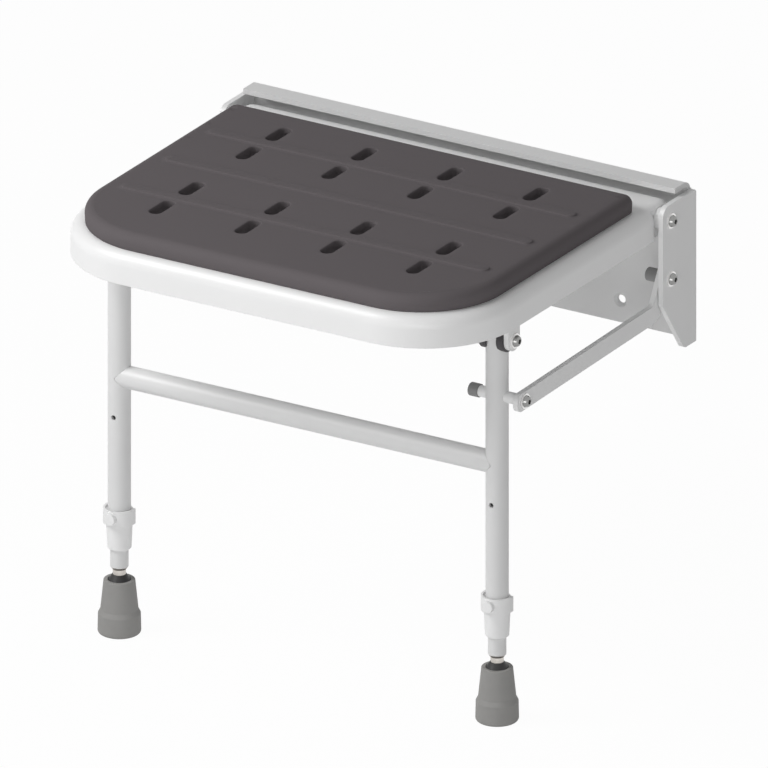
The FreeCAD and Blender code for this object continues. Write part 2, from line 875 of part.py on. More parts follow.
def bracket_nodes():
    """The pieces fixed to the wall."""
    nodes = {}
    nodes["wall_plate"] = wall_plate()
    nodes["right_cheek"] = cheek([seat_pivot, link_pivot])
    nodes["left_cheek"] = mirrored(cheek([seat_pivot]))
    head_face = cheek_half_span + washer_thickness
    hinge_end = hinge_block_inner - side_play
    nodes["hinge_bolts"] = both_sides([pivot_bolt(seat_pivot, head_face, hinge_end)])
    nodes["hinge_lock_nuts"] = both_sides([lock_nut(seat_pivot, hinge_end)])
    nodes["hinge_spacers"] = both_sides([hinge_spacer()])
    link_stack_end = link_inner - side_play
    nodes["link_bolt"] = pivot_bolt(link_pivot, head_face, link_stack_end)
    nodes["link_lock_nut"] = lock_nut(link_pivot, link_stack_end)
    nodes["link_nut_cover"] = nut_cover(link_pivot, link_stack_end, cheek_cover_length)
    hinge_ring, link_ring = [washer(at, cheek_half_span, washer_thickness) for at in (seat_pivot, link_pivot)]
    nodes["cheek_washers"] = Part.makeCompound([hinge_ring, mirrored(hinge_ring), link_ring])
    return nodes


def seat_nodes():
    """The pieces that fold with the seat."""
    nodes = {}
    nodes["seat_shell"] = seat_shell()
    nodes["seat_pad"] = seat_pad()
    nodes["hinge_bushes"] = both_sides([hinge_bush()])
    nodes["leg_brackets"] = both_sides([leg_bracket()])
    nodes["bracket_screws"] = both_sides([bracket_screw(x, y) for x, y in bracket_screw_places()])
    outer_face = leg_half_spacing + ear_outer
    inner_face = leg_half_spacing - ear_outer
    head_face = outer_face + leg_washer_thickness
    nodes["leg_bolts"] = both_sides([pivot_bolt(leg_pivot, head_face, inner_face)])
    nodes["leg_bolt_washers"] = both_sides([washer(leg_pivot, outer_face, leg_washer_thickness)])
    nodes["leg_lock_nuts"] = both_sides([lock_nut(leg_pivot, inner_face)])
    nodes["leg_nut_covers"] = both_sides([nut_cover(leg_pivot, inner_face, cover_length)])
    return nodes


def leg_frame_nodes():
    """The two legs with what is fixed to them."""
    nodes = {}
    nodes["right_leg_tube"] = leg_tube(with_link=True)
    nodes["left_leg_tube"] = mirrored(leg_tube(with_link=False))
    nodes["crossbar"] = crossbar()
    nodes["leg_top_plugs"] = both_sides([leg_top_plug()])
    nodes["leg_bushes"] = both_sides([leg_bush()])
    nodes["saddle_spacers"] = both_sides(saddle_spacers())
    nodes["link_sleeve"] = link_sleeve()
    nodes["guide_collars"] = both_sides([guide_collar()])
    outer_face = link_outer + side_play
    inner_face = leg_half_spacing - tube_radius - sleeve_inner_reach
    head_face = outer_face + washer_thickness
    nodes["link_end_bolt"] = pivot_bolt(link_end, head_face, inner_face)
    nodes["link_end_washer"] = washer(link_end, outer_face, washer_thickness)
    nodes["link_end_lock_nut"] = lock_nut(link_end, inner_face)
    nodes["link_end_nut_cover"] = nut_cover(link_end, inner_face, cover_length)
    return nodes


def side_nodes():
    """The link, the feet and the clips, each with its own motion."""
    nodes = {"link": link()}
    for name, shape in (
        ("height_clip", height_clip()),
        ("foot_tube", foot_tube()),
        ("foot_stub", foot_stub()),
        ("ferrule_core", ferrule_core()),
        ("ferrule", ferrule()),
    ):
        nodes["right_" + name] = shape
        nodes["left_" + name] = mirrored(shape)
    return nodes


def main():
    os.makedirs("parts", exist_ok=True)
    for group in (bracket_nodes(), seat_nodes(), leg_frame_nodes(), side_nodes()):
        for name, shape in group.items():
            shape.exportStep("parts/" + name + ".step")
            print(name, len(shape.Solids), "valid" if shape.isValid() else "NOT VALID")


main()
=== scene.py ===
import math

import bmesh
import bpy
from mathutils import Matrix, Vector
from mathutils.geometry import delaunay_2d_cdt


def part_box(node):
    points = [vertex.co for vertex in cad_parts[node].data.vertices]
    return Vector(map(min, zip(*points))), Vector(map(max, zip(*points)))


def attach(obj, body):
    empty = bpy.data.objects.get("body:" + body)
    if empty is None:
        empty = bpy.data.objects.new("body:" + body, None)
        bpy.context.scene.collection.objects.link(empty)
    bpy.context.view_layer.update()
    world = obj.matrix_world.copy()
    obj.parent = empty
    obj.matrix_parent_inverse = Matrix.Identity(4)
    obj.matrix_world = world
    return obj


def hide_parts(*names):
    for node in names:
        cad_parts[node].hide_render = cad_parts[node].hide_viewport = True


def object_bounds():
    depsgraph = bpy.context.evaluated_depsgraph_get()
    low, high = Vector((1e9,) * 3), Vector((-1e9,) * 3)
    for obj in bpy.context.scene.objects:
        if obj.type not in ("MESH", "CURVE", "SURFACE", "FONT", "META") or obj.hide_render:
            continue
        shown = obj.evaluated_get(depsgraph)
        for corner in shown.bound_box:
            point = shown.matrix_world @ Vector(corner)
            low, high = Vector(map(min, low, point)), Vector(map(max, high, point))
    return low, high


bl_info = {
    "name": "Fold down wall seat",
    "version": (1, 0, 0),
    "blender": (4, 5, 0),
    "location": "3D View > Sidebar > Wall seat",
    "description": "Dresses the packed wall seat: foam pad, paints, plastics, rubbers and a plain studio",
    "category": "Add Mesh",
}

MM = 0.001
# The photographed pad reaches this much nearer to the wall than the plain solid does.
PAD_REACHES_BACK = 9 * MM
BEVEL_SAMPLES = 4
# Where the lamps look, where they stand and how large they are, in metres.
LIT_MIDDLE = (0, -0.25, -0.1)
KEY_PLACE, KEY_ACROSS = (-1.45, -1.73, 1.93), (1.3, 1.3)
FILL_PLACE, FILL_ACROSS = (1.45, -2.70, 0.33), (1.5, 1.2)
FLOOR_REACH = 6.0
# The rest of the floor's light is left to show a faint shadow.
FLOOR_WHITE = 0.97

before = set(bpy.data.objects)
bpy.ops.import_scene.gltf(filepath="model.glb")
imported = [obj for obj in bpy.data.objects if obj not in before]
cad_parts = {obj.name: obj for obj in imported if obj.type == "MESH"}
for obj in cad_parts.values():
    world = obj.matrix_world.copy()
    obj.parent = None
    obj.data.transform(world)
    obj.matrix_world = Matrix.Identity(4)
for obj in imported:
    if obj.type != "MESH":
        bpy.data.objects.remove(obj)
cad_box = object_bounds()
pad_low, pad_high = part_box("seat_pad")


def size(name, description, default, **more):
    """A length in metres, shown in the scene's own unit."""
    return bpy.props.FloatProperty(name=name, description=description, default=default, unit="LENGTH", **more)


def angle(name, description, degrees):
    """An angle, given in degrees."""
    turn = math.radians(degrees)
    return bpy.props.FloatProperty(name=name, description=description, default=turn, unit="ROTATION")


def light(name, description, default):
    """A level of light, where 1 is full white."""
    return bpy.props.FloatProperty(name=name, description=description, default=default)


def colour(name, description, default):
    """A colour as the hex value a paint or plastic maker would give."""
    return bpy.props.StringProperty(name=name, description=description, default=default)


class PadSizes(bpy.types.PropertyGroup):
    half_width: size("Half width", "From the middle of the pad to its side", pad_high.x)
    front: size("Front", "Where the pad's front lies along Y", pad_low.y)
    rear: size("Rear", "Where the pad's rear lies along Y", pad_high.y + PAD_REACHES_BACK)
    base: size("Base", "Height of the seat's top, which the pad lies on", pad_low.z)
    bar_height: size("Bar height", "How far the three bars stand above the pad", 1.5 * MM)
    bar_edge: size("Bar edge", "Width of the soft edge round each bar", 1.2 * MM)
    crown: size("Crown", "How far the middle of the pad swells", 0.9 * MM)
    edge_radius: size("Edge radius", "Rounding of the pad's upper edge", 10.0 * MM)
    front_corner: size("Front corners", "Radius of the two front corners", 100.0 * MM)
    rear_corner: size("Rear corners", "Radius of the two rear corners", 11.0 * MM)
    draft: size("Draft", "How far the sides draw in towards the base, as they left the mould", 0.5 * MM)
    bar_pitch: size("Bar pitch", "Distance from bar to bar", 89.25 * MM)
    bar_middle: size("Middle bar", "Where the middle bar lies along Y", -257.3 * MM)
    bar_half_length: size("Bar half length", "From the middle of a bar to its end", 229.0 * MM)
    bar_width: size("Bar width", "Width of a bar", 14.0 * MM)
    slot_pitch: size("Slot pitch", "Distance from one column of drain slots to the next", 107.3 * MM)
    slot_from_bar: size("Slot from bar", "From a bar's middle to the slots beside it", 30.6 * MM)
    slot_width: size("Slot width", "Width of a drain slot", 14.6 * MM)
    slot_length: size("Slot length", "Length of a drain slot", 40.0 * MM)
    slot_edge: size("Slot edge", "Rounding of a slot's mouth", 1.4 * MM)
    spacing: size("Mesh spacing", "Size of the pad's faces", 6.0 * MM)


class Finishes(bpy.types.PropertyGroup):
    # The wall plate and the bars carry one powder coat in two colours: the plate's darker colour is painted
    # shade, and the lighter colour of the cheeks, link and leg brackets is painted light.
    shaded_plate_paint: colour("Plate paint, shaded copy", "Powder coat on the wall plate", "#dadada")
    lit_bar_paint: colour("Bar paint, lit copy", "Powder coat on the cheeks, the link and the leg brackets", "#eeeeee")
    leg_paint: colour("Leg paint", "Powder coat on the legs and crossbar", "#dfdfdf")
    seat_plastic: colour("Seat plastic", "Moulded shell", "#f0f0f0")
    white_nylon: colour("White nylon", "Collars, clips and plugs", "#efefef")
    pad_foam: colour("Pad foam", "Skin of the foam pad", "#6a6567")
    dark_plastic: colour("Dark plastic", "Spacers beside the legs", "#3a373a")
    grey_cover: colour("Grey covers", "Covers over the nuts", "#868686")
    plated_steel: colour("Plated steel", "Bolts", "#949493")
    zinc: colour("Zinc", "Washers, nuts and screws", "#f0efee")
    foot_rubber: colour("Foot rubber", "Ferrules", "#92918f")
    core_rubber: colour("Core rubber", "Soft core in each ferrule", "#141314")
    stub_metal: colour("Stub", "Turned stub above each ferrule", "#cfcac4")


class StageSettings(bpy.types.PropertyGroup):
    azimuth: angle("Azimuth", "How far the camera stands to the right", 31.35)
    elevation: angle("Elevation", "How far the camera looks down", 22.4)
    across: size("View width", "Width of the view, with no perspective", 0.8205)
    aim_right: size("Aim to the right", "The view's centre, along its width", -96.53 * MM)
    aim_up: size("Aim up", "The view's centre, along its height", -170.26 * MM)
    distance: size("Distance", "Distance of the camera from the seat", 3.0)
    wall_light: light("Wall light", "Light from level with the seat", 0.40)
    ceiling_light: light("Ceiling light", "Light from overhead", 0.20)
    key_light: light("Key light", "Share of light from the lamp on the left", 0.56)
    fill_light: light("Fill light", "Share of light from the lamp on the right", 0.20)


def linear(hex_value):
    """An sRGB hex colour as the linear colour that shaders take."""
    shares = [int(hex_value[i : i + 2], 16) / 255 for i in (1, 3, 5)]
    return [s / 12.92 if s <= 0.04045 else ((s + 0.055) / 1.055) ** 2.4 for s in shares] + [1.0]


def add(tree, kind, inputs=None, **settings):
    """Add a node with its settings. An input is a plain value or the output of another node."""
    node = tree.nodes.new(kind)
    for name, value in settings.items():
        setattr(node, name, value)
    for socket, value in (inputs or {}).items():
        if isinstance(value, bpy.types.NodeSocket):
            tree.links.new(value, node.inputs[socket])
        else:
            node.inputs[socket].default_value = value
    return node


def new_material(name):
    material = bpy.data.materials.new(name)
    material.use_nodes = True
    material.node_tree.nodes.clear()
    tree = material.node_tree
    place = add(tree, "ShaderNodeTexCoord").outputs["Object"]
    return material, tree, place


def shade(tree, base, bump, **values):
    """The surface shader and the material's output."""
    inputs = {"Base Color": base, "Normal": bump, **values}
    shader = add(tree, "ShaderNodeBsdfPrincipled", inputs)
    add(tree, "ShaderNodeOutputMaterial", {"Surface": shader.outputs[0]})


def tint(tree, source, hex_value, low, high):
    """The colour a little darker and a little lighter, following a pattern from 0 to 1."""
    base = linear(hex_value)
    ramp = add(tree, "ShaderNodeValToRGB", {"Fac": source})
    ramp.color_ramp.elements[0].color = [c * low for c in base[:3]] + [1]
    ramp.color_ramp.elements[1].color = [c * high for c in base[:3]] + [1]
    return ramp.outputs["Color"]


def spread(tree, source, low, high):
    """A pattern from 0 to 1 turned into a range of values."""
    return add(tree, "ShaderNodeMapRange", {"Value": source, "To Min": low, "To Max": high}).outputs[0]


def noise(tree, place, across, detail=2.0, roughness=0.5):
    """A cloudy pattern from 0 to 1, with clouds about this far across."""
    inputs = {"Vector": place, "Scale": 1 / across, "Detail": detail, "Roughness": roughness}
    return add(tree, "ShaderNodeTexNoise", inputs).outputs["Fac"]


def relief(tree, height, strength, depth, soft_edge=None):
    """A fine relief that follows a pattern, on edges that are rounded a little where asked."""
    inputs = {"Strength": strength, "Distance": depth, "Height": height}
    if soft_edge:
        rounded = add(tree, "ShaderNodeBevel", {"Radius": soft_edge}, samples=BEVEL_SAMPLES)
        inputs["Normal"] = rounded.outputs[0]
    return add(tree, "ShaderNodeBump", inputs).outputs[0]


def powder_coat(name, hex_value):
    """Polyester powder coat on steel, sprayed as dry powder and baked until it flows. It gives the eye
    an even, slightly glossy skin that rounds the sheet's cut edges and has a faint orange peel."""
    material, tree, place = new_material(name)
    cloud = noise(tree, place, 60 * MM, 3.0)
    # The real peel is about 1.5 mm across and would not show, so it is drawn at 3 mm.
    peel = noise(tree, place, 3 * MM)
    shade(
        tree,
        tint(tree, cloud, hex_value, 0.975, 1.02),
        relief(tree, peel, 0.16, 0.12 * MM, 0.7 * MM),
        Roughness=spread(tree, cloud, 0.34, 0.42),
    )
    return material


def moulded_plastic(name, hex_value, roughness, grain, depth, soft_edge):
    """Moulded plastic from a spark eroded tool. It gives the eye a fine even grain that softens the
    light, slightly glossier where the grain has been rubbed."""
    material, tree, place = new_material(name)
    cloud = noise(tree, place, 70 * MM, 4.0)
    pits = noise(tree, place, grain, 3.0, 0.6)
    shade(
        tree,
        tint(tree, cloud, hex_value, 0.98, 1.01),
        relief(tree, pits, 0.3, depth, soft_edge),
        Roughness=spread(tree, pits, roughness - 0.04, roughness + 0.06),
    )
    return material


def skinned_foam(name, hex_value):
    """Polyurethane foam moulded with its own closed skin. It gives the eye a flat matt skin with a fine
    leather grain and hardly any shine; its colour is painted a touch darker in the grain's creases as painted
    shade."""
    material, tree, place = new_material(name)
    cloud = noise(tree, place, 90 * MM, 4.0)
    # The tool's grain is about 0.6 mm across and would not show, so it is drawn at 1.4 mm.
    where = {"Vector": place, "Scale": 1 / (1.4 * MM)}
    cells = add(tree, "ShaderNodeTexVoronoi", where, feature="DISTANCE_TO_EDGE")
    fine = noise(tree, place, 0.8 * MM, 3.0)
    creases = spread(tree, cells.outputs["Distance"], 0.0, 1.0)
    grain = add(tree, "ShaderNodeMath", {0: creases, 1: fine}, operation="ADD")
    # The colour follows a random cloud of tone and is painted a touch darker along the grain's creases, which
    # is painted shade.
    tone_and_crease_shade = add(tree, "ShaderNodeMath", {0: cloud, 1: creases, 2: 0.2}, operation="MULTIPLY_ADD")
    shade(
        tree,
        tint(tree, tone_and_crease_shade.outputs[0], hex_value, 0.93, 1.05),
        relief(tree, grain.outputs[0], 0.35, 0.12 * MM),
        Roughness=spread(tree, cloud, 0.48, 0.58),
        **{"Specular IOR Level": 0.01},
    )
    return material


def plated_metal(name, hex_value, roughness, streak):
    """Steel with a thin zinc plating. It gives the eye a bright cool metal, with the faint streaks of
    the turned or stamped surface beneath."""
    material, tree, place = new_material(name)
    stretched = add(tree, "ShaderNodeMapping", {"Vector": place, "Scale": (0.15, 1.0, 1.0)})
    marks = noise(tree, stretched.outputs[0], streak, 3.0)
    shade(
        tree,
        tint(tree, marks, hex_value, 0.9, 1.04),
        relief(tree, marks, 0.2, 0.05 * MM, 0.3 * MM),
        Metallic=1.0,
        Roughness=spread(tree, marks, roughness - 0.05, roughness + 0.08),
    )
    return material


def turned_aluminium(name, hex_value):
    """Aluminium turned on a lathe and left bare. It gives the eye a warm pale metal with rings too fine
    to count, drawn 0.8 mm apart so that they show."""
    material, tree, place = new_material(name)
    rings = add(
        tree,
        "ShaderNodeTexWave",
        {"Vector": place, "Scale": 1 / (20 * 0.8 * MM), "Distortion": 0.4},
        wave_type="BANDS",
        bands_direction="Z",
    ).outputs["Fac"]
    shade(
        tree,
        tint(tree, rings, hex_value, 0.94, 1.03),
        relief(tree, rings, 0.25, 0.05 * MM),
        Metallic=1.0,
        Roughness=spread(tree, rings, 0.38, 0.48),
    )
    return material


def moulded_rubber(name, hex_value, roughness):
    """Rubber pressed in a heated mould. It gives the eye a soft matt surface, dusted lighter in places,
    that never shines."""
    material, tree, place = new_material(name)
    dust = noise(tree, place, 14 * MM, 5.0)
    pores = noise(tree, place, 0.9 * MM)
    shade(
        tree,
        tint(tree, dust, hex_value, 0.92, 1.06),
        relief(tree, pores, 0.3, 0.1 * MM, 0.8 * MM),
        Roughness=spread(tree, dust, roughness - 0.05, roughness + 0.07),
    )
    return material


def dress(names, material):
    """Give CAD nodes their finish."""
    for name in names:
        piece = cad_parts[name]
        for place in piece.material_slots:
            place.material = material


def both(*names):
    return [side + "_" + name for name in names for side in ("left", "right")]


def ring_points(sides, radii, inset, spacing):
    """Points round a rectangle with round corners, drawn in by the inset. Every inset of one rectangle
    has the same number of points, so that its rings can be joined by four sided faces."""
    low_x, high_x, low_y, high_y = sides
    turns = (
        (low_x, low_y, radii[0], 1, 1, math.pi),
        (high_x, low_y, radii[0], -1, 1, 1.5 * math.pi),
        (high_x, high_y, radii[1], -1, -1, 0.0),
        (low_x, high_y, radii[1], 1, -1, 0.5 * math.pi),
    )
    arcs = []
    for x, y, radius, to_x, to_y, start in turns:
        count = max(5, round(radius * math.pi / 2 / (0.6 * spacing)))
        centre = Vector((x + to_x * radius, y + to_y * radius))
        turned = [start + math.pi / 2 * i / count for i in range(count + 1)]
        arcs.append([centre + (radius - inset) * Vector((math.cos(t), math.sin(t))) for t in turned])
    points = []
    straight = (high_x - low_x - 2 * radii[0], high_y - low_y - radii[0] - radii[1])
    runs = (straight[0], straight[1], high_x - low_x - 2 * radii[1], straight[1])
    for i, arc in enumerate(arcs):
        points += arc
        following = arcs[(i + 1) % 4][0]
        count = int(runs[i] / spacing)
        points += [arc[-1].lerp(following, (j + 1) / (count + 1)) for j in range(count)]
    kept = []
    for point in points:
        if not kept or (point - kept[-1]).length > 1e-6:
            kept.append(point)
    if (kept[0] - kept[-1]).length < 1e-6:
        kept.pop()
    return kept


def outside_by(point, centre, half_length, radius, along_x):
    """How far a point lies outside a bar or slot with round ends. It is less than 0 inside."""
    away = point - centre
    along, across = (away.x, away.y) if along_x else (away.y, away.x)
    beyond = max(0.0, abs(along) - (half_length - radius))
    return math.hypot(beyond, across) - radius


class FoamPad:
    """The moulded pad: rounded sides, three raised bars and sixteen slots with soft mouths."""

    def __init__(self, sizes):
        self.s = sizes
        self.top = pad_high.z - sizes.bar_height
        self.mesh = bmesh.new()
        self.bars = [Vector((0, sizes.bar_middle + step * sizes.bar_pitch)) for step in (-1, 0, 1)]
        self.slots = [
            Vector((column * sizes.slot_pitch, bar.y + side * sizes.slot_from_bar))
            for column in (-1.5, -0.5, 0.5, 1.5)
            for bar in (self.bars[0], self.bars[2])
            for side in (-1, 1)
        ]
        self.sides = (-sizes.half_width, sizes.half_width, sizes.front, sizes.rear)
        self.radii = (sizes.front_corner, sizes.rear_corner)

    def swell(self, point):
        s = self.s
        middle = (s.front + s.rear) / 2
        across = (point.x / (s.half_width - s.edge_radius)) ** 2
        along = ((point.y - middle) / ((s.rear - s.front) / 2 - s.edge_radius)) ** 2
        return s.crown * max(0.0, 1 - across) * max(0.0, 1 - along)

    def height(self, point):
        """Height of the pad's top, with its crown and bars."""
        s = self.s
        rise = 0.0
        for bar in self.bars:
            out = outside_by(point, bar, s.bar_half_length, s.bar_width / 2, True)
            share = min(1.0, max(0.0, (0.25 * s.bar_edge - out) / s.bar_edge))
            rise = max(rise, share * share * (3 - 2 * share))
        return self.top + self.swell(point) + s.bar_height * rise

    def band(self, lower, upper):
        """Four sided faces between two rings of points."""
        low = [self.mesh.verts.new(p) for p in lower]
        high = [self.mesh.verts.new(p) for p in upper]
        for i in range(len(low)):
            j = (i + 1) % len(low)
            self.mesh.faces.new((low[i], low[j], high[j], high[i]))

    def outer_rings(self):
        s = self.s
        rings = []
        for inset, height in ((s.draft + 0.8 * MM, s.base), (s.draft, s.base + 0.8 * MM)):
            flat = ring_points(self.sides, self.radii, inset, s.spacing)
            rings.append([Vector((p.x, p.y, height)) for p in flat])
        for step in range(9):
            angle = math.pi / 2 * step / 8
            inset = s.edge_radius * (1 - math.cos(angle))
            height = self.top - s.edge_radius * (1 - math.sin(angle))
            flat = ring_points(self.sides, self.radii, inset, s.spacing)
            rings.append([Vector((p.x, p.y, height)) for p in flat])
        return rings

    def slot_rings(self, centre):
        s = self.s
        half, reach = s.slot_width / 2, s.slot_length / 2
        sides = (centre.x - half, centre.x + half, centre.y - reach, centre.y + reach)
        rings = []
        for step in range(5):
            angle = math.pi / 2 * step / 4
            outward = s.slot_edge * (1 - math.sin(angle))
            flat = ring_points(sides, (half, half), -outward, 0.4 * s.spacing)
            drop = s.slot_edge * (1 - math.cos(angle))
            rings.append([Vector((p.x, p.y, self.top + self.swell(p) - drop)) for p in flat])
        rings.append([Vector((p.x, p.y, s.base)) for p in rings[-1]])
        return rings

    def cover(self, rings, loose, height, slot_reach):
        """Triangles over a flat outline with the slots left open, raised to the height given."""
        points, edges = [], []
        for ring in rings:
            start = len(points)
            points += [Vector((p.x, p.y)) for p in ring]
            edges += [(start + i, start + (i + 1) % len(ring)) for i in range(len(ring))]
        points += loose
        flat, _, faces, *_ = delaunay_2d_cdt(points, edges, [], 0, 1e-7)
        corners = [self.mesh.verts.new((p.x, p.y, height(p))) for p in flat]
        s = self.s
        for face in faces:
            centre = sum((flat[i] for i in face), Vector((0, 0))) / len(face)
            if any(
                outside_by(centre, slot, s.slot_length / 2, s.slot_width / 2, False) < slot_reach
                for slot in self.slots
            ):
                continue
            self.mesh.faces.new([corners[i] for i in face])

    def build(self):
        s = self.s
        outer = self.outer_rings()
        for lower, upper in zip(outer, outer[1:]):
            self.band(lower, upper)
        mouths, floors = [], []
        for slot in self.slots:
            rings = self.slot_rings(slot)
            for upper, lower in zip(rings, rings[1:]):
                self.band(lower, upper)
            mouths.append(rings[0])
            floors.append(rings[-1])
        bar_rings = []
        for bar in self.bars:
            half = s.bar_width / 2
            sides = (-s.bar_half_length, s.bar_half_length, bar.y - half, bar.y + half)
            for share in (-0.25, 0.0, 0.2, 0.4, 0.6, 0.8):
                bar_rings.append(ring_points(sides, (half, half), share * s.bar_edge, 0.6 * s.spacing))
        loose = []
        columns = int(s.half_width / s.spacing)
        rows = int((s.rear - s.front) / s.spacing)
        for i in range(-columns, columns + 1):
            for j in range(rows + 1):
                point = Vector((i * s.spacing, s.front + (j + 0.5) * s.spacing))
                if self.clear(point):
                    loose.append(point)
        self.cover([outer[-1], *mouths, *bar_rings], loose, self.height, s.slot_edge)
        self.cover([outer[0], *floors], [], lambda point: s.base, 0.0)
        bmesh.ops.remove_doubles(self.mesh, verts=self.mesh.verts, dist=2e-6)
        bmesh.ops.recalc_face_normals(self.mesh, faces=self.mesh.faces)
        for face in self.mesh.faces:
            face.smooth = True
        data = bpy.data.meshes.new("foam_pad")
        self.mesh.to_mesh(data)
        self.mesh.free()
        pad = bpy.data.objects.new("foam_pad", data)
        bpy.context.collection.objects.link(pad)
        return pad

    def clear(self, point):
        """Whether a loose point of the mesh keeps clear of every ring."""
        s = self.s
        gap = 0.45 * s.spacing
        inset = s.edge_radius + gap
        corner_x = s.half_width - max(s.front_corner, s.rear_corner)
        if abs(point.x) > s.half_width - inset or not s.front + inset < point.y < s.rear - inset:
            return False
        if abs(point.x) > corner_x and point.y < s.front + s.front_corner:
            away = math.hypot(abs(point.x) - corner_x, point.y - s.front - s.front_corner)
            if away > s.front_corner - inset:
                return False
        for bar in self.bars:
            out = outside_by(point, bar, s.bar_half_length, s.bar_width / 2, True)
            if -s.bar_edge - gap < out < gap:
                return False
        return all(
            outside_by(point, slot, s.slot_length / 2, s.slot_width / 2, False) > s.slot_edge + gap
            for slot in self.slots
        )


class SEAT_OT_pad(bpy.types.Operator):
    """Model the foam pad and let it stand for the plain one"""

    bl_idname = "wall_seat.pad"
    bl_label = "Foam pad"

    def execute(self, context):
        pad = FoamPad(context.scene.seat_pad_sizes).build()
        looks = context.scene.seat_finishes
        pad.data.materials.append(skinned_foam("Polyurethane foam, moulded skin", looks.pad_foam))
        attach(pad, "seat")
        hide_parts("seat_pad")
        return {"FINISHED"}


class SEAT_OT_shell(bpy.types.Operator):
    """Give the moulded shell its finish"""

    bl_idname = "wall_seat.shell"
    bl_label = "Seat shell"

    def execute(self, context):
        looks = context.scene.seat_finishes
        white = moulded_plastic(
            "ABS, moulded and fine grained", looks.seat_plastic, 0.36, 1.2 * MM, 0.06 * MM, 0.6 * MM
        )
        dress(["seat_shell"], white)
        return {"FINISHED"}


class SEAT_OT_bracket(bpy.types.Operator):
    """Paint the wall plate, its cheeks, the link and the leg brackets"""

    bl_idname = "wall_seat.bracket"
    bl_label = "Wall bracket"

    def execute(self, context):
        looks = context.scene.seat_finishes
        # One powder coat in two copies: painted darker on the plate as painted shade, and lighter on the
        # cheeks, link and leg brackets as painted light.
        dress(["wall_plate"], powder_coat("Steel plate, powder coated, darker as painted shade", looks.shaded_plate_paint))
        paint = powder_coat("Flat steel, powder coated, lighter as painted light", looks.lit_bar_paint)
        dress([*both("cheek"), "link", "leg_brackets"], paint)
        return {"FINISHED"}


class SEAT_OT_legs(bpy.types.Operator):
    """Paint the legs, their inner tubes and the crossbar"""

    bl_idname = "wall_seat.legs"
    bl_label = "Legs"

    def execute(self, context):
        looks = context.scene.seat_finishes
        paint = powder_coat("Steel tube, powder coated", looks.leg_paint)
        dress([*both("leg_tube", "foot_tube"), "crossbar"], paint)
        return {"FINISHED"}


class SEAT_OT_mouldings(bpy.types.Operator):
    """Give the collars, clips, plugs, spacers and nut covers their plastics"""

    bl_idname = "wall_seat.mouldings"
    bl_label = "Small mouldings"

    def execute(self, context):
        looks = context.scene.seat_finishes
        depth = 0.05 * MM
        white = moulded_plastic(
            "Nylon, moulded, white", looks.white_nylon, 0.40, 1.0 * MM, depth, 0.5 * MM
        )
        dark = moulded_plastic(
            "Nylon, moulded, dark grey", looks.dark_plastic, 0.48, 0.9 * MM, depth, 0.5 * MM
        )
        grey = moulded_plastic(
            "Polyethylene, moulded, grey", looks.grey_cover, 0.45, 0.9 * MM, depth, 0.4 * MM
        )
        turning = ["hinge_spacers", "link_sleeve", "hinge_bushes", "leg_bushes"]
        dress([*both("height_clip"), "guide_collars", "leg_top_plugs", *turning], white)
        dress(["saddle_spacers"], dark)
        dress(["link_nut_cover", "leg_nut_covers", "link_end_nut_cover"], grey)
        return {"FINISHED"}


class SEAT_OT_fasteners(bpy.types.Operator):
    """Plate the bolts, nuts, screws and washers"""

    bl_idname = "wall_seat.fasteners"
    bl_label = "Fasteners"

    def execute(self, context):
        looks = context.scene.seat_finishes
        bright = plated_metal("Steel, turned and bright zinc plated", looks.plated_steel, 0.20, 0.8 * MM)
        dull = plated_metal("Steel, stamped and zinc plated", looks.zinc, 0.44, 1.2 * MM)
        dress(["hinge_bolts", "link_bolt", "leg_bolts", "link_end_bolt"], bright)
        nuts = ["hinge_lock_nuts", "link_lock_nut", "leg_lock_nuts", "link_end_lock_nut"]
        washers = ["cheek_washers", "leg_bolt_washers", "link_end_washer"]
        dress([*nuts, *washers, "bracket_screws"], dull)
        return {"FINISHED"}


class SEAT_OT_feet(bpy.types.Operator):
    """Give the ferrules, their cores and the stubs their finish"""

    bl_idname = "wall_seat.feet"
    bl_label = "Feet"

    def execute(self, context):
        looks = context.scene.seat_finishes
        dress(both("ferrule"), moulded_rubber("Rubber, moulded, grey", looks.foot_rubber, 0.62))
        dress(both("ferrule_core"), moulded_rubber("Rubber, moulded, black", looks.core_rubber, 0.50))
        dress(both("foot_stub"), turned_aluminium("Aluminium, turned", looks.stub_metal))
        return {"FINISHED"}


def lamp(name, place, target, across, share):
    """A large soft lamp. A share of 1 lights a surface that faces it to the colour it was given."""
    data = bpy.data.lights.new(name, "AREA")
    data.shape = "RECTANGLE"
    data.size, data.size_y = across
    away = Vector(place) - Vector(target)
    data.energy = share * math.pi**2 * away.length_squared
    thing = bpy.data.objects.new(name, data)
    thing.location = place
    thing.rotation_euler = away.to_track_quat("Z", "Y").to_euler()
    bpy.context.collection.objects.link(thing)


def seen(tree):
    """1 where the camera, a gloss or glass looks at the backdrop, and 0 where it only lights."""
    path = add(tree, "ShaderNodeLightPath")
    gloss = add(
        tree,
        "ShaderNodeMath",
        {0: path.outputs["Is Camera Ray"], 1: path.outputs["Is Glossy Ray"]},
        operation="MAXIMUM",
    )
    rays = {0: gloss.outputs[0], 1: path.outputs["Is Transmission Ray"]}
    return add(tree, "ShaderNodeMath", rays, operation="MAXIMUM").outputs[0]


